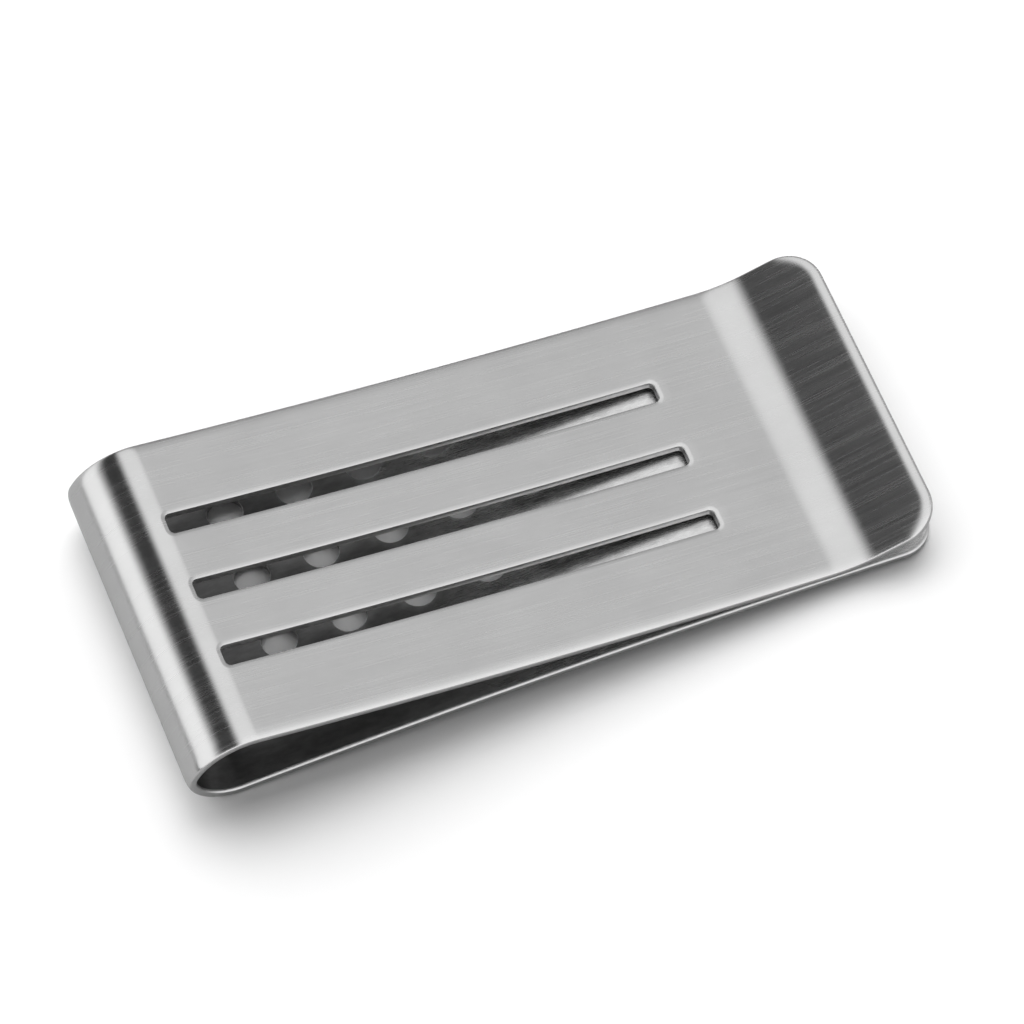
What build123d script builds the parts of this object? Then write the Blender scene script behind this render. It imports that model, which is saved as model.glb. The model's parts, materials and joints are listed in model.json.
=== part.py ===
from build123d import *
import math
import os

# A money clip: one strip of spring steel folded into a teardrop loop. The back leaf lies
# underneath and is perforated, the front leaf lies on it and is slotted, and past the crest
# where the two touch the front leaf flares up into a lip.
#
# Millimetres and degrees. +X runs from the bend to the lip, +Y across the strip, +Z up. The
# origin is on the resting plane, below the middle of the clip's length and width.
#
# The strip is followed along its outer surface from the back leaf's tip, round the bend, to
# the lip. A stretch is a length and the angle it turns through; the turn that closes the loop
# is positive. Radii are those of the outer surface.

strip_width = 25.0
strip_thickness = 0.7

back_length = 52.3
back_arch = 6.6              # the back leaf is bowed up between its two ends by this turn
back_corner_radius = 2.7
crest_from_tip = 8.45        # from the back leaf's tip to where the front leaf comes down on it

lower_bend_radius = 3.9
lower_bend_turn = 77.0
nose_radius = 2.05
nose_turn = 43.0
upper_bend_radius = 4.9
shoulder_turn = 25.0         # the last of the upper bend, which belongs to the front leaf

front_hollow = 4.7           # the front leaf is slightly hollow on top, by this turn
crest_gap = 0.05             # between the leaves where they all but touch

flare_radius = 9.5
flare_turn = 22.0
lip_length = 5.1
lip_corner_radius = 2.9

slot_count = 3
slot_width = 1.65
slot_pitch = 5.6
slot_corner_radius = 0.4
slot_from_bend = -0.12
slot_from_crest = 5.85

hole_diameter = 2.6
hole_rows = 4
hole_row_pitch = 5.5
hole_column_pitch = 5.2      # as many columns as there is room for
hole_from_bend = 6.2
hole_from_crest = 5.8

rim_radius = 0.2             # every outside rim is tumbled smooth
punch_depth = 3.0            # how far a punch runs past the outer surface, both ways


def arc_length(radius, turn):
    return radius * math.radians(turn)


def walk(place, length, turn):
    """The place and heading at the end of a stretch that starts at place."""
    x, z, heading = place
    half = math.radians(turn) / 2
    chord = length if turn == 0 else length * math.sin(half) / half
    direction = math.radians(heading) - half
    return (x + chord * math.cos(direction), z + chord * math.sin(direction), heading - turn)


def walk_all(place, stretches):
    for length, turn in stretches:
        place = walk(place, length, turn)
    return place


def offset(place, distance):
    """The point at a distance inwards from the outer surface."""
    x, z, heading = place
    angle = math.radians(heading)
    return (x + distance * math.sin(angle), z - distance * math.cos(angle))


def punch_plane(place):
    """A plane on the outer surface, x along the strip and z out of it."""
    x, z, heading = place
    angle = math.radians(heading)
    along = (math.cos(angle), 0, math.sin(angle))
    outwards = (-math.sin(angle), 0, math.cos(angle))
    return Plane(origin=(x, 0, z), x_dir=along, z_dir=outwards)


# The nose is divided where the strip stands upright, which is the line the clip opens about.
upright = 90.0
nose_low_turn = 180 + back_arch / 2 - lower_bend_turn - upright
nose_high_turn = nose_turn - nose_low_turn

tip = (0.0, 0.0, 180 - back_arch / 2)
back_stretch = (back_length, -back_arch)
lower_bend_stretches = [
    (arc_length(lower_bend_radius, lower_bend_turn), lower_bend_turn),
    (arc_length(nose_radius, nose_low_turn), nose_low_turn),
]
lip_stretches = [(arc_length(flare_radius, flare_turn), -flare_turn), (lip_length, 0)]

back_end = walk_all(tip, [back_stretch])
hinge_line = walk_all(back_end, lower_bend_stretches)


def crest_of(front_length, turn):
    """Where the front leaf ends, for a length of leaf and a turn of the upper bend."""
    upper_bend = [
        (arc_length(nose_radius, nose_high_turn), nose_high_turn),
        (arc_length(upper_bend_radius, turn), turn),
    ]
    return walk_all(hinge_line, upper_bend + [(front_length, -front_hollow)])


def gap_at_crest(front_length, turn):
    """The gap between the leaves, whose facing surfaces are two arcs with their backs together."""
    flare_centre = offset(crest_of(front_length, turn), -flare_radius)
    back_radius = back_length / math.radians(back_arch)
    back_centre = offset(tip, -back_radius)
    return math.dist(flare_centre, back_centre) - flare_radius - back_radius - 2 * strip_thickness


def closing_turn(front_length):
    """The turn of the upper bend that brings the front leaf down to the crest gap."""
    too_little, too_much = 30.0, 110.0
    for _ in range(50):
        middle = (too_little + too_much) / 2
        if gap_at_crest(front_length, middle) > crest_gap:
            too_little = middle
        else:
            too_much = middle
    return too_little


def length_to_crest():
    """The length of front leaf that comes down at the wanted distance from the back leaf's tip."""
    front_length = back_length
    for _ in range(30):
        from_tip = tip[0] - crest_of(front_length, closing_turn(front_length))[0]
        front_length += from_tip - crest_from_tip
    return front_length


front_length = length_to_crest()
main_turn = closing_turn(front_length) - shoulder_turn
bend_stretches = [
    (arc_length(nose_radius, nose_high_turn), nose_high_turn),
    (arc_length(upper_bend_radius, main_turn), main_turn),
]
shoulder_stretch = (arc_length(upper_bend_radius, shoulder_turn), shoulder_turn)
front_stretch = (front_length, -front_hollow)

bend_end = walk_all(hinge_line, bend_stretches)
front_start = walk_all(bend_end, [shoulder_stretch])
front_end = walk_all(front_start, [front_stretch])


def surface(place, stretches, depth):
    """The edges of the strip's outer or inner surface, and the point where they end."""
    edges = []
    for length, turn in stretches:
        middle = walk(place, length / 2, turn / 2)
        end = walk(place, length, turn)
        first, last = offset(place, depth), offset(end, depth)
        edges.append(Line(first, last) if turn == 0 else ThreePointArc(first, offset(middle, depth), last))
        place = end
    return edges, place


def strip(start, stretches):
    """The piece of strip along these stretches, across its full width."""
    outer, end = surface(start, stretches, 0)
    inner, _ = surface(start, stretches, strip_thickness)
    ends = [Line(offset(place, 0), offset(place, strip_thickness)) for place in (start, end)]
    side = make_face(outer + inner + ends)
    return extrude(Plane.XZ * side, strip_width / 2, both=True)


def round_corners(piece, radius):
    """Round the two corners at the piece's free end, seen square to the sheet."""
    across_sheet = piece.edges().filter_by(lambda edge: abs(edge.length - strip_thickness) < 1e-6)
    return fillet(across_sheet.sort_by(Axis.X)[-2:], radius)


def round_rims(piece):
    """Round every rim but those of the ends that carry on in the next piece."""
    kept_sharp = (strip_width, strip_thickness)
    rims = [e for e in piece.edges() if all(abs(e.length - sharp) > 1e-6 for sharp in kept_sharp)]
    return fillet(rims, rim_radius)


def make_back_leaf():
    leaf = round_rims(round_corners(strip(tip, [back_stretch]), back_corner_radius))
    room = back_length - crest_from_tip - hole_from_crest - hole_from_bend
    punches = []
    for column in range(1 + int(room // hole_column_pitch)):
        from_tip = back_length - hole_from_bend - column * hole_column_pitch
        spot = walk(tip, from_tip, -back_arch * from_tip / back_length)
        for row in range(hole_rows):
            across = (row - (hole_rows - 1) / 2) * hole_row_pitch
            punches.append(punch_plane(spot) * Pos(0, across, 0) * Cylinder(hole_diameter / 2, punch_depth))
    return leaf - punches


def make_lower_bend():
    return round_rims(strip(back_end, lower_bend_stretches))


def make_upper_bend():
    return round_rims(strip(hinge_line, bend_stretches))


def make_front_leaf():
    leaf = round_rims(strip(bend_end, [shoulder_stretch, front_stretch]))
    slot_length = front_length - slot_from_bend - slot_from_crest
    to_middle = slot_from_bend + slot_length / 2
    spot = walk(front_start, to_middle, -front_hollow * to_middle / front_length)
    shape = RectangleRounded(slot_length, slot_width, slot_corner_radius)
    punches = []
    for slot in range(slot_count):
        across = (slot - (slot_count - 1) / 2) * slot_pitch
        punches.append(punch_plane(spot) * Pos(0, across, 0) * extrude(shape, punch_depth, both=True))
    return leaf - punches


def make_lip():
    return round_rims(round_corners(strip(front_end, lip_stretches), lip_corner_radius))


pieces = {
    "back_leaf": make_back_leaf(),
    "lower_bend": make_lower_bend(),
    "upper_bend": make_upper_bend(),
    "front_leaf": make_front_leaf(),
    "lip": make_lip(),
}

extent = Compound(list(pieces.values())).bounding_box()
to_origin = Pos(-extent.center().X, 0, -extent.min.Z)

os.makedirs("parts", exist_ok=True)
for name, piece in pieces.items():
    export_step(to_origin * piece, f"parts/{name}.step")

print("overall size", extent.size)
print("hinge line at", to_origin * Pos(hinge_line[0], 0, hinge_line[1]))
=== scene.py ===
import json
import math

import bmesh
import bpy
import numpy as np
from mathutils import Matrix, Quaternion, Vector
from mathutils.geometry import delaunay_2d_cdt


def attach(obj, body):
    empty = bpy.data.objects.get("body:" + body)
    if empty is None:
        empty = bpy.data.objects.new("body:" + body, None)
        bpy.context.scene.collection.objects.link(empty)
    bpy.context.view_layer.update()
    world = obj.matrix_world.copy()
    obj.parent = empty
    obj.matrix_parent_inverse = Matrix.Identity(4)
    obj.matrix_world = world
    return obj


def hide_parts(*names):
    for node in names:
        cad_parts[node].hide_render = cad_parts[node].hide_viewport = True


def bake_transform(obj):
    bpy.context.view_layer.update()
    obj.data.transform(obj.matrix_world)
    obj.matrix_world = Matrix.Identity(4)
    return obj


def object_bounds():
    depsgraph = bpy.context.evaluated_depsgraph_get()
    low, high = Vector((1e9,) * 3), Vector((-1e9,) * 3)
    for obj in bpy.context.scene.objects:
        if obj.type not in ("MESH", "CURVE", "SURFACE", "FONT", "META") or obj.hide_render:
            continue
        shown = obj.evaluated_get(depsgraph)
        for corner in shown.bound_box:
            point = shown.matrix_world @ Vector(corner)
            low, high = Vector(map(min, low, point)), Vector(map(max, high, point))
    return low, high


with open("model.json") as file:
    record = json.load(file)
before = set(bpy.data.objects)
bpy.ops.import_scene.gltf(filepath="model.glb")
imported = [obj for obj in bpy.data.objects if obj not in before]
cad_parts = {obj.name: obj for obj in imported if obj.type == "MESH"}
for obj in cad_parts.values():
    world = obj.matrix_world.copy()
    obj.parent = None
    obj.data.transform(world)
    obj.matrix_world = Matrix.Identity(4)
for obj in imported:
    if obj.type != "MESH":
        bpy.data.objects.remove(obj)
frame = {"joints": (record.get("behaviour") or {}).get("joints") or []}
cad_low, cad_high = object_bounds()
mm = 0.001

# ---------------------------------------------------------------------------------------------
# Camera. A long lens, looking down on the clip from in front of it and a little to its left.
# It aims at the middle of the clip.

lens = 214.3
camera_azimuth = math.radians(-21.3)
camera_elevation = math.radians(60.0)
camera_roll = math.radians(-0.3)
camera_distance = 427.5 * mm

towards_camera = Vector((
    math.sin(camera_azimuth) * math.cos(camera_elevation),
    -math.cos(camera_azimuth) * math.cos(camera_elevation),
    math.sin(camera_elevation),
))
aim = (cad_low + cad_high) / 2 + Vector((0.33, -0.47, 0.0)) * mm

camera_data = bpy.data.cameras.new("camera")
camera_data.lens = lens
camera_data.clip_start = 0.05
camera_data.clip_end = 20.0
camera = bpy.data.objects.new("camera", camera_data)
camera.location = aim + towards_camera * camera_distance
camera.rotation_mode = "QUATERNION"
level = (-towards_camera).to_track_quat("-Z", "Y")
camera.rotation_quaternion = level @ Quaternion((0, 0, 1), camera_roll)
bpy.context.scene.collection.objects.link(camera)
bpy.context.scene.camera = camera

# ---------------------------------------------------------------------------------------------
# Back leaf. The clip is one strip of stainless spring steel, blanked and punched flat, tumbled,
# folded over a mandrel and brushed along its length. This is the leaf that lies underneath,
# with four rows of round holes and two rounded corners at its tip.

strip_width = 25.0 * mm
strip_thickness = 0.7 * mm

# The fold, from the back leaf's tip round the bend to the lip: the length of each stretch of
# the outer surface, and the angle that it turns through, positive where it closes the loop.
nose_radius = 2.05 * mm
lower_bend_radius = 3.9 * mm
upper_bend_radius = 4.9 * mm
flare_radius = 9.5 * mm


def arc(radius, turn):
    return (radius * math.radians(turn), turn)


back_length, back_turn = 52.3 * mm, -6.6
front_length, front_turn = 42.809 * mm, -4.7
flare_length, flare_turn = arc(flare_radius, 22.0)
lip_length = 5.1 * mm
below_hinge = [arc(lower_bend_radius, 77.0), arc(nose_radius, 16.3)]
above_hinge = [arc(nose_radius, 26.7), arc(upper_bend_radius, 72.447)]
fold = [
    (back_length, back_turn),
    *below_hinge,
    *above_hinge,
    (front_length, front_turn),
    (flare_length, -flare_turn),
    (lip_length, 0.0),
]

lengths = np.array([length for length, turn in fold])
turns = np.radians([turn for length, turn in fold])
starts = np.concatenate([[0.0], np.cumsum(lengths)])
headings = np.radians(180 + back_turn / 2) - np.concatenate([[0.0], np.cumsum(turns)])
hinge_corner = 1 + len(below_hinge)
front_corner = hinge_corner + len(above_hinge)
back_end = starts[1]
hinge_at = starts[hinge_corner]
front_start = starts[front_corner]
strip_end = starts[-1]


def walk(along, stretch):
    """How far x and z have come after a distance along one stretch, and the heading there."""
    turned = turns[stretch] * along / lengths[stretch]
    chord = along * np.sinc(turned / 2 / np.pi)
    direction = headings[stretch] - turned / 2
    return chord * np.cos(direction), chord * np.sin(direction), headings[stretch] - turned


corners_x, corners_z = [0.0], [0.0]
for number in range(len(fold)):
    step_x, step_z, _ = walk(lengths[number], number)
    corners_x.append(corners_x[-1] + step_x)
    corners_z.append(corners_z[-1] + step_z)
hinge = Vector(frame["joints"][0]["pos_m"])
corners_x = np.array(corners_x) - corners_x[hinge_corner] + hinge.x
corners_z = np.array(corners_z) - corners_z[hinge_corner] + hinge.z


def folded(along, across, depth):
    """Where a point of the flat strip comes to lie, depth being measured in from the outside."""
    stretch = np.clip(np.searchsorted(starts, along, side="right") - 1, 0, len(fold) - 1)
    step_x, step_z, heading = walk(along - starts[stretch], stretch)
    x = corners_x[stretch] + step_x + depth * np.sin(heading)
    z = corners_z[stretch] + step_z - depth * np.cos(heading)
    return np.stack([x, across, z], axis=-1)


def columns(begin, end, spacing=0.7 * mm, facet=math.radians(1.0)):
    """Distances along the strip, close together where it bends."""
    shortest = 1e-7
    found = [begin]
    for number in range(len(fold)):
        low, high = max(begin, starts[number]), min(end, starts[number + 1])
        if high - low > shortest:
            turn = abs(turns[number]) * (high - low) / lengths[number]
            steps = max(math.ceil(turn / facet), math.ceil((high - low) / spacing))
            found.extend(low + (high - low) * np.arange(1, steps + 1) / steps)
    return np.array(found)


# An outline is a row of points (along, across) with the direction into the metal at each. It is
# closed for a hole, and open where the strip carries on in the next piece.

def corner(centre, radius, first, last, inwards=-1, steps=14):
    angle = np.radians(np.linspace(first, last, steps + 1))
    ray = np.stack([np.cos(angle), np.sin(angle)], axis=-1)
    return np.hstack([np.array(centre) + radius * ray, inwards * ray])


def edge_run(first, last, into, spacing=0.7 * mm):
    """A straight run between two corners, without its two ends."""
    first, last = np.array(first), np.array(last)
    steps = max(1, round(float(np.linalg.norm(last - first)) / spacing))
    share = np.arange(1, steps)[:, None] / steps
    return np.hstack([first + share * (last - first), np.tile(into, (steps - 1, 1))])


def side_run(along, side):
    """One long side of the strip at these columns; side is 1 or -1."""
    across = np.full(len(along), side * strip_width / 2)
    return np.stack([along, across, np.zeros(len(along)), np.full(len(along), -side)], axis=-1)


def leaf_outline(seam, tip, radius):
    """From the seam along one side, round the two corners at the tip, and back to the seam."""
    out = 1 if tip > seam else -1
    half = strip_width / 2
    near_tip = tip - out * radius
    along = columns(min(seam, near_tip), max(seam, near_tip))[::out]
    side_angle, end_angle = 90, 90 - 90 * out
    left = corner((near_tip, half - radius), radius, side_angle, end_angle)
    right = left[::-1] * [1, -1, 1, -1]
    end = edge_run((tip, half - radius), (tip, radius - half), (-out, 0))
    return np.vstack([side_run(along[:-1], 1), left, end, right, side_run(along[:-1], -1)[::-1]])


def round_hole(centre, radius):
    return corner(centre, radius, 0, 360, inwards=1, steps=48)[:-1]


def roll_off(inset, drop, steps):
    """An edge rounded as a quarter of an ellipse: distance in from the edge, and depth."""
    angle = np.linspace(0, math.pi / 2, steps + 1)
    return np.stack([inset * (1 - np.sin(angle)), drop * (1 - np.cos(angle))], axis=-1)


def rim(outside, inside):
    """The profile over an edge, from the outer surface round to the inner one."""
    under = roll_off(*inside)[::-1]
    under[:, 1] = strip_thickness - under[:, 1]
    return np.vstack([roll_off(*outside), under])


def fill(flat, loops, closed):
    """Triangles over a face of the flat strip. loops are rings of vertex numbers that bound it."""
    bounds = [(ring[i - 1], ring[i]) for ring in loops for i in range(len(ring))]
    result = delaunay_2d_cdt([Vector(p) / mm for p in flat], bounds, [], 0, 1e-7)
    triangles = [[result[3][v][0] for v in face] for face in result[2]]
    inside = [set(ring) for ring in closed]
    return [t for t in triangles if not any(ring.issuperset(t) for ring in inside)]


def enclosed(points, loop):
    """Which points lie inside a closed loop."""
    (x1, y1), (x2, y2) = loop.T, np.roll(loop, -1, axis=0).T
    x, y = points[:, :1], points[:, 1:]
    level_with = (y1 > y) != (y2 > y)
    beyond = x < x1 + (x2 - x1) * (y - y1) / np.where(y1 == y2, 1.0, y2 - y1)
    return (level_with & beyond).sum(axis=1) % 2 == 1


def clear_of(points, run, gap):
    """Which points stand at least this far from a row of points."""
    begins, steps = run[:-1], np.diff(run, axis=0)
    offset = points[:, None] - begins[None]
    share = np.clip((offset * steps).sum(-1) / (steps * steps).sum(-1), 0, 1)
    return np.linalg.norm(offset - share[..., None] * steps, axis=-1).min(axis=1) > gap


# The finishes, in the order of each piece's material slots; the third carries painted shade on the
# inside of the fold.
brushed, tumbled, milled_and_painted_shade = range(3)
grid_gap = 0.25 * mm


def sheet(name, outlines, along, rows, seams):
    """A piece of the folded strip as a closed mesh: its outer face, its rims and its inner face.

    Each outline is (points, closed, rim). Between them the faces get a grid of these distances
    along and across. The strip carries on in the next piece at each seam."""
    flat, depths, faces, kinds = [], [], [], []

    def add(points, depth):
        first = len(flat)
        flat.extend(points)
        depths.extend([depth] * len(points))
        return list(range(first, first + len(points)))

    rims = []
    for points, is_closed, profile in outlines:
        rings = [add(points[:, :2] + inset * points[:, 2:], depth) for inset, depth in profile]
        rims.append((rings, is_closed))
        for step, (upper, lower) in enumerate(zip(rings, rings[1:])):
            for i in range(0 if is_closed else 1, len(points)):
                faces.append((upper[i - 1], upper[i], lower[i], lower[i - 1]))
                kinds.append(brushed if profile[step + 1][1] < strip_thickness / 2 else tumbled)

    grid = np.array([(s, y) for s in along[1:-1] for y in rows])
    edges = [(points[:, :2] + profile[0][0] * points[:, 2:], is_closed)
             for points, is_closed, profile in outlines]
    grid = grid[enclosed(grid, np.vstack([edge for edge, is_closed in edges if not is_closed]))]
    for edge, is_closed in edges:
        if is_closed:
            grid = grid[~enclosed(grid, edge)]
            edge = np.vstack([edge, edge[:1]])
        grid = grid[clear_of(grid, edge, grid_gap)]
    caps = {seam: [] for seam in seams}
    for face, depth in ((0, 0.0), (-1, strip_thickness)):
        bounding = [rings[face] for rings, is_closed in rims]
        holes = [rings[face] for rings, is_closed in rims if is_closed]
        inner_points = add(grid, depth)
        edge_loops = list(holes)
        open_runs = [ring for ring, (_, is_closed) in zip(bounding, rims) if not is_closed]
        loop = []
        for run in open_runs:
            loop.extend(run)
            seam = min(seams, key=lambda s: abs(s - flat[run[-1]][0]))
            side = np.sign(flat[run[-1]][1])
            row = add([(seam, y) for y in (rows if side < 0 else rows[::-1])], depth)
            loop.extend(row)
            caps[seam].append(row if side < 0 else row[::-1])
        edge_loops.append(loop)
        used = loop + [v for ring in holes for v in ring] + inner_points
        number = {v: i for i, v in enumerate(used)}
        local = [[number[v] for v in ring] for ring in edge_loops]
        for triangle in fill([flat[v] for v in used], local, local[:-1]):
            faces.append(tuple(used[v] for v in triangle))
            kinds.append(brushed if face == 0 else milled_and_painted_shade)

    def end_column(seam, side):
        for rings, is_closed in rims:
            for end in (0, -1):
                s, y = flat[rings[0][end]]
                if not is_closed and abs(s - seam) < 1e-9 and y * side > 0:
                    return [ring[end] for ring in rings]

    cap_faces = []
    for seam, (outer_row, inner_row) in caps.items():
        left, right = end_column(seam, 1), end_column(seam, -1)
        cap_faces.append(len(faces))
        faces.append(tuple(outer_row + left + inner_row[::-1] + right[::-1]))
        kinds.append(tumbled)

    flat = np.array(flat)
    places = folded(flat[:, 0], flat[:, 1], np.array(depths))
    mesh = bpy.data.meshes.new(name)
    mesh.from_pydata(places.tolist(), [], faces)
    mesh.polygons.foreach_set("material_index", kinds)
    mesh.polygons.foreach_set("use_smooth", [True] * len(faces))
    pattern = mesh.uv_layers.new(name="flat_strip")
    for loop in mesh.loops:
        pattern.uv[loop.index].vector = flat[loop.vertex_index][::-1]
    worked = bmesh.new()
    worked.from_mesh(mesh)
    worked.faces.ensure_lookup_table()
    for cap in cap_faces:
        for edge in worked.faces[cap].edges:
            edge.smooth = False
    bmesh.ops.recalc_face_normals(worked, faces=worked.faces)
    worked.to_mesh(mesh)
    worked.free()
    piece = bpy.data.objects.new(name, mesh)
    bpy.context.scene.collection.objects.link(piece)
    return piece


hole_radius = 1.3 * mm
hole_from_bend = 6.2 * mm
hole_column_pitch = 5.2 * mm
hole_row_pitch = 5.5 * mm
hole_columns = [back_end - hole_from_bend - column * hole_column_pitch for column in range(7)]
hole_rows = [row * hole_row_pitch for row in (-1.5, -0.5, 0.5, 1.5)]
tip_radius = 2.7 * mm
side_rim = rim(outside=(0.9 * mm, 0.2 * mm, 10), inside=(0.25 * mm, 0.12 * mm, 5))
punched_rim = rim(outside=(0.06 * mm, 0.05 * mm, 4), inside=(0.02 * mm, 0.02 * mm, 3))


def dip(inset, drop, steps):
    """The face sinking gently towards a blanked edge, over this inset and to this drop."""
    share = np.linspace(0, 1, steps + 1)
    return np.stack([inset * (1 - share), drop * share ** 2], axis=-1)


# A slot's rim: the face dips towards it, and then rolls off tightly.
dip_width = 0.32 * mm
dip_depth = 0.05 * mm
slot_round = 0.04 * mm
round_steps = 3
slot_rim = rim(outside=(slot_round, slot_round, round_steps), inside=(0.08 * mm, 0.06 * mm, 3))
slot_rim[:round_steps + 1, 1] += dip_depth
slot_rim = np.vstack([dip(dip_width, dip_depth, 6)[:-1] + [slot_round, 0], slot_rim])
rows = np.linspace(-11.2, 11.2, 29) * mm

back_outlines = [(leaf_outline(back_end, 0.0, tip_radius), False, side_rim)]
for hole_column in hole_columns:
    for hole_row in hole_rows:
        back_outlines.append((round_hole((hole_column, hole_row), hole_radius), True, punched_rim))
back_leaf = sheet("back_leaf_strip", back_outlines, columns(0.0, back_end), rows, [back_end])


class Nodes:
    """A node tree, with one call for each node, whose inputs are values or sockets."""

    def __init__(self, owner, shader="Principled BSDF"):
        self.owner = owner
        owner.use_nodes = True
        self.tree = owner.node_tree
        self.shader = self.tree.nodes[shader]

    def add(self, kind, inputs=(), **settings):
        node = self.tree.nodes.new(kind)
        for key, value in settings.items():
            setattr(node, key, value)
        for key, value in dict(inputs).items():
            self.put(node.inputs[key], value)
        return node

    def put(self, socket, value):
        if isinstance(value, bpy.types.NodeSocket):
            self.tree.links.new(value, socket)
        else:
            socket.default_value = value

    def math(self, operation, *values):
        return self.add("ShaderNodeMath", enumerate(values), operation=operation).outputs[0]

    def spread(self, value, low, high, new_low, new_high):
        """Maps low..high to new_low..new_high, smoothly and held at both ends."""
        inputs = {0: value, 1: low, 2: high, 3: new_low, 4: new_high}
        return self.add("ShaderNodeMapRange", inputs, interpolation_type="SMOOTHSTEP").outputs[0]

    def grain(self, pattern, across, along, detail=2.0):
        """Noise on the flat strip, with this many wrinkles per millimetre across and along."""
        scale = (across / mm, along / mm, 1.0)
        stretched = self.add("ShaderNodeVectorMath", {0: pattern, 1: scale}, operation="MULTIPLY")
        inputs = {"Vector": stretched.outputs[0], "Scale": 1.0, "Detail": detail, "Roughness": 0.6}
        return self.add("ShaderNodeTexNoise", inputs).outputs["Fac"]


def brushed_steel():
    """Satin steel: lengthwise brush lines in the bump and the roughness, and faint clouding."""
    steel = Nodes(bpy.data.materials.new("brushed_steel"))
    pattern = steel.add("ShaderNodeUVMap", uv_map="flat_strip").outputs[0]
    fine = steel.grain(pattern, across=11.0, along=0.10, detail=3.0)
    broad = steel.grain(pattern, across=2.5, along=0.04, detail=3.0)
    cloud = steel.grain(pattern, across=0.25, along=0.18, detail=3.0)
    lines = steel.math("ADD", steel.math("MULTIPLY", fine, 0.7), steel.math("MULTIPLY", broad, 0.3))
    roughness = steel.spread(lines, 0.3, 0.7, 0.20, 0.29)
    tone = steel.math("ADD", steel.math("MULTIPLY", cloud, 0.10), steel.math("MULTIPLY", lines, 0.09))
    tones = {0: tone, 6: (0.50, 0.50, 0.50, 1), 7: (1.4, 1.4, 1.4, 1)}
    colour = steel.add("ShaderNodeMix", tones, data_type="RGBA").outputs[2]
    bump = steel.add("ShaderNodeBump", {"Height": lines, "Strength": 0.5, "Distance": 0.0008 * mm})
    tangent = steel.add("ShaderNodeTangent", direction_type="UV_MAP", uv_map="flat_strip")
    steel.put(steel.shader.inputs["Base Color"], colour)
    steel.put(steel.shader.inputs["Metallic"], 1.0)
    steel.put(steel.shader.inputs["Roughness"], roughness)
    steel.put(steel.shader.inputs["Anisotropic"], 0.9)
    steel.put(steel.shader.inputs["Normal"], bump.outputs[0])
    steel.put(steel.shader.inputs["Tangent"], tangent.outputs[0])
    return steel.owner


def tumbled_edge():
    """The sheared edges, which only the tumbling has smoothed."""
    edge = Nodes(bpy.data.materials.new("tumbled_edge"))
    pattern = edge.add("ShaderNodeUVMap", uv_map="flat_strip").outputs[0]
    mottle = edge.grain(pattern, across=2.0, along=2.0, detail=4.0)
    bump = edge.add("ShaderNodeBump", {"Height": mottle, "Strength": 0.3, "Distance": 0.01 * mm})
    edge.put(edge.shader.inputs["Base Color"], (0.55, 0.55, 0.55, 1))
    edge.put(edge.shader.inputs["Metallic"], 1.0)
    edge.put(edge.shader.inputs["Roughness"], edge.spread(mottle, 0.3, 0.7, 0.3, 0.42))
    edge.put(edge.shader.inputs["Normal"], bump.outputs[0])
    return edge.owner


def mill_finish_and_painted_shade():
    """The inside of the fold, which no brush reaches: rolled steel, duller by the bend, with painted
    shade that darkens its colour towards the bend.
    """
    mill = Nodes(bpy.data.materials.new("mill_finish_and_painted_shade"))
    shade_begin, shade_end = 12 * mm, 34 * mm
    pattern = mill.add("ShaderNodeUVMap", uv_map="flat_strip").outputs[0]
    mottle = mill.grain(pattern, across=2.5, along=0.8, detail=4.0)
    rolled = mill.grain(pattern, across=14.0, along=0.5, detail=3.0)
    along = mill.add("ShaderNodeSeparateXYZ", {0: pattern}).outputs["Y"]
    from_bend = mill.math("ABSOLUTE", mill.math("SUBTRACT", along, hinge_at))
    height = mill.math("ADD", mill.math("MULTIPLY", mottle, 0.1), mill.math("MULTIPLY", rolled, 0.9))
    bump = mill.add("ShaderNodeBump", {"Height": height, "Strength": 0.4, "Distance": 0.0015 * mm})
    # Painted shade: the colour darkens from 0.70 down to 0.17 towards the bend, standing in for the
    # shade between the two leaves.
    painted_fold_shade = mill.spread(from_bend, shade_begin, shade_end, 0.17, 0.70)
    mottle_and_painted_shade = mill.math("MULTIPLY", painted_fold_shade, mill.spread(mottle, 0.3, 0.7, 0.85, 1.08))
    colour = mill.add("ShaderNodeCombineColor", {0: mottle_and_painted_shade, 1: mottle_and_painted_shade, 2: mottle_and_painted_shade}).outputs[0]
    dullness = mill.spread(from_bend, shade_begin, shade_end, 0.10, 0.0)
    lines = mill.spread(height, 0.3, 0.7, 0.22, 0.3)
    tangent = mill.add("ShaderNodeTangent", direction_type="UV_MAP", uv_map="flat_strip")
    mill.put(mill.shader.inputs["Base Color"], colour)
    mill.put(mill.shader.inputs["Metallic"], 1.0)
    mill.put(mill.shader.inputs["Roughness"], mill.math("ADD", dullness, lines))
    mill.put(mill.shader.inputs["Anisotropic"], 0.4)
    mill.put(mill.shader.inputs["Normal"], bump.outputs[0])
    mill.put(mill.shader.inputs["Tangent"], tangent.outputs[0])
    return mill.owner


finishes = [brushed_steel(), tumbled_edge(), mill_finish_and_painted_shade()]


def finish_strip(piece):
    for finish in finishes:
        piece.data.materials.append(finish)


finish_strip(back_leaf)
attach(back_leaf, "back")
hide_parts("back_leaf")

# ---------------------------------------------------------------------------------------------
# Bend. The same strip, folded round in a teardrop that is tighter at its nose than above and
# below it. It is the clip's spring, but here it is built in this one pose and stays fixed.

seam_before_front = 1.0 * mm
front_seam = front_start - seam_before_front
bend_columns = columns(back_end, front_seam)
bend_outlines = [
    (side_run(bend_columns, 1), False, side_rim),
    (side_run(bend_columns[::-1], -1), False, side_rim),
]
bend = sheet("bend_strip", bend_outlines, bend_columns, rows, [back_end, front_seam])
finish_strip(bend)
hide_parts("lower_bend", "upper_bend")
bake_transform(bend)

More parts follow.
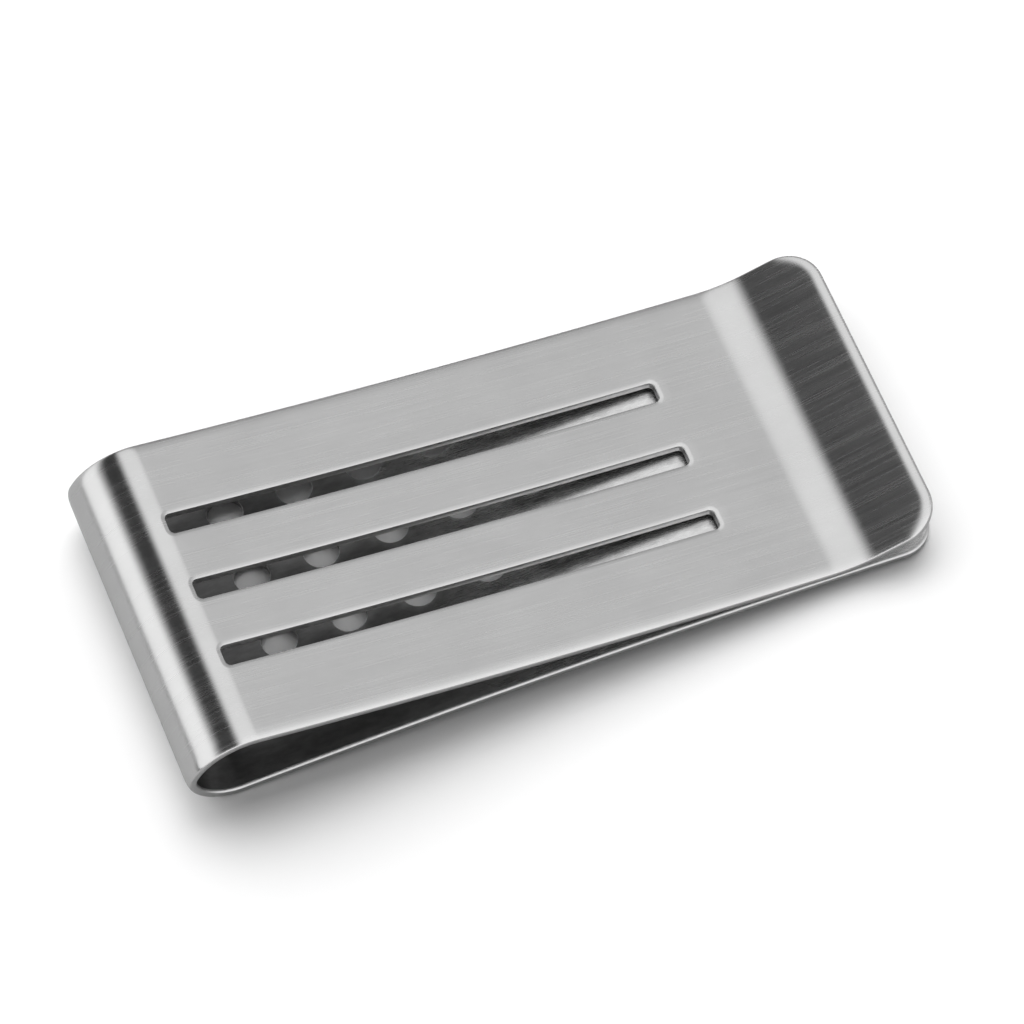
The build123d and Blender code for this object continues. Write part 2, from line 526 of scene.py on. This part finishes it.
# ---------------------------------------------------------------------------------------------
# Front leaf. The end of the strip that lies on top, with three long slots blanked side by side.
# Past the crest, where it presses on the back leaf, it flares up into a lip with round corners.

slot_pitch = 5.6 * mm
slot_width = 1.65 * mm
slot_corner = 0.4 * mm
slot_before_front = 0.12 * mm
slot_from_crest = 5.85 * mm
slot_begin = front_start - slot_before_front
slot_end = front_start + front_length - slot_from_crest
lip_radius = 2.9 * mm


def slot_outline(across):
    """A long hole with square ends, whose corners are only just rounded."""
    low, high = slot_begin + slot_corner, slot_end - slot_corner
    half = slot_width / 2 - slot_corner
    far = edge_run((high, across + slot_width / 2), (low, across + slot_width / 2), (0, 1))
    near = far[::-1] * [1, 1, 1, -1] - [0, slot_width, 0, 0]
    turn = dict(radius=slot_corner, inwards=1, steps=6)
    return np.vstack([
        corner((high, across + half), first=0, last=90, **turn), far,
        corner((low, across + half), first=90, last=180, **turn),
        corner((low, across - half), first=180, last=270, **turn), near,
        corner((high, across - half), first=270, last=360, **turn),
    ])


front_outlines = [(leaf_outline(front_seam, strip_end, lip_radius), False, side_rim)]
for slot in (-1, 0, 1):
    front_outlines.append((slot_outline(slot * slot_pitch), True, slot_rim))
front_columns = columns(front_seam, strip_end)
front_leaf = sheet("front_leaf_strip", front_outlines, front_columns, rows, [front_seam])
finish_strip(front_leaf)
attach(front_leaf, "front")
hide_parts("front_leaf", "lip")

# ---------------------------------------------------------------------------------------------
# Floor and light. A plain white table under a pale sky, with a soft sun and a wide light panel
# over the clip. The metal reflects the panel, the dark bar in it, and a grey card for the table.


def flat_plane(name, half, height):
    """A level square about the origin."""
    mesh = bpy.data.meshes.new(name)
    square = [(-half, -half, height), (half, -half, height), (half, half, height), (-half, half, height)]
    mesh.from_pydata(square, [], [(0, 1, 2, 3)])
    plane = bpy.data.objects.new(name, mesh)
    bpy.context.scene.collection.objects.link(plane)
    return plane


def plain_finish(name, tone, roughness):
    plain = Nodes(bpy.data.materials.new(name))
    plain.put(plain.shader.inputs["Base Color"], (tone, tone, tone, 1))
    plain.put(plain.shader.inputs["Roughness"], roughness)
    return plain.owner


# The table lies a hair below the bend's lowest line, so that no thin line shows where they meet.
floor_half = 3.0
floor_height = cad_low.z - 0.01 * mm
floor = flat_plane("floor", floor_half, floor_height)
floor.data.materials.append(plain_finish("white_table", tone=0.9, roughness=0.5))
floor.visible_glossy = False

grey_card = flat_plane("grey_card", floor_half, floor_height + 0.004 * mm)
grey_card.data.materials.append(plain_finish("grey_card", tone=0.5, roughness=0.9))
grey_card.visible_camera = False
grey_card.visible_diffuse = False
grey_card.visible_shadow = False

key = bpy.data.lights.new("key", "SUN")
key.energy = 0.7
key.angle = math.radians(38)
key_light = bpy.data.objects.new("key", key)
key_light.rotation_mode = "QUATERNION"
key_light.rotation_quaternion = Vector((0.2, 0.5, 1.0)).to_track_quat("Z", "Y")
key_light.visible_glossy = False
bpy.context.scene.collection.objects.link(key_light)

panel = flat_plane("light_panel", half=6.0, height=600 * mm)
glow = Nodes(bpy.data.materials.new("light_panel"))
position = glow.add("ShaderNodeNewGeometry").outputs["Position"]
x, y, _ = glow.add("ShaderNodeSeparateXYZ", {0: position}).outputs


def share(place, low, high):
    """0 at low and 1 at high, in millimetres on the panel, with a smooth change between."""
    return glow.spread(place, low * mm, high * mm, 0.0, 1.0)


def both(first, second):
    return glow.math("MULTIPLY", first, second)


def mixed(factor, low, high):
    return glow.add("ShaderNodeMix", {0: factor, 2: low, 3: high}).outputs[0]


# Dimmer on the right, brighter on the left and in front, dark far behind, and nearly black in
# the bar, which runs from front to back on the left.
right = mixed(share(x, 190, 330), 1.12, 0.57)
left = mixed(share(x, 0, -200), right, 1.38)
front = mixed(share(y, 120, -100), left, 1.35)
far_behind = mixed(both(share(y, 900, 2200), share(x, -1500, -300)), front, 0.05)
bar = both(both(share(x, -30, -180), share(x, -900, -420)), share(y, -560, -300))
emission = glow.add("ShaderNodeEmission", {"Strength": mixed(bar, far_behind, 0.02)})
glow.put(glow.tree.nodes["Material Output"].inputs["Surface"], emission.outputs[0])
glow.tree.nodes.remove(glow.shader)
panel.data.materials.append(glow.owner)
panel.visible_camera = False
panel.visible_diffuse = False
panel.visible_shadow = False

# The sky is brightest behind the clip and dim near the horizon.
bpy.context.scene.world = bpy.data.worlds.new("studio")
sky = Nodes(bpy.context.scene.world, shader="Background")
generated = sky.add("ShaderNodeTexCoord").outputs["Generated"]
sky_direction = sky.add("ShaderNodeSeparateXYZ", {0: generated})
from_behind = sky.spread(sky_direction.outputs["Y"], -0.2, 0.9, 0.3, 3.1)
above_horizon = sky.spread(sky_direction.outputs["Z"], 0.05, 0.45, 0.2, 1.0)
sky.put(sky.shader.inputs["Color"], (1, 1, 1, 1))
sky.put(sky.shader.inputs["Strength"], sky.math("MULTIPLY", from_behind, above_horizon))

bpy.context.scene.view_settings.view_transform = "Standard"
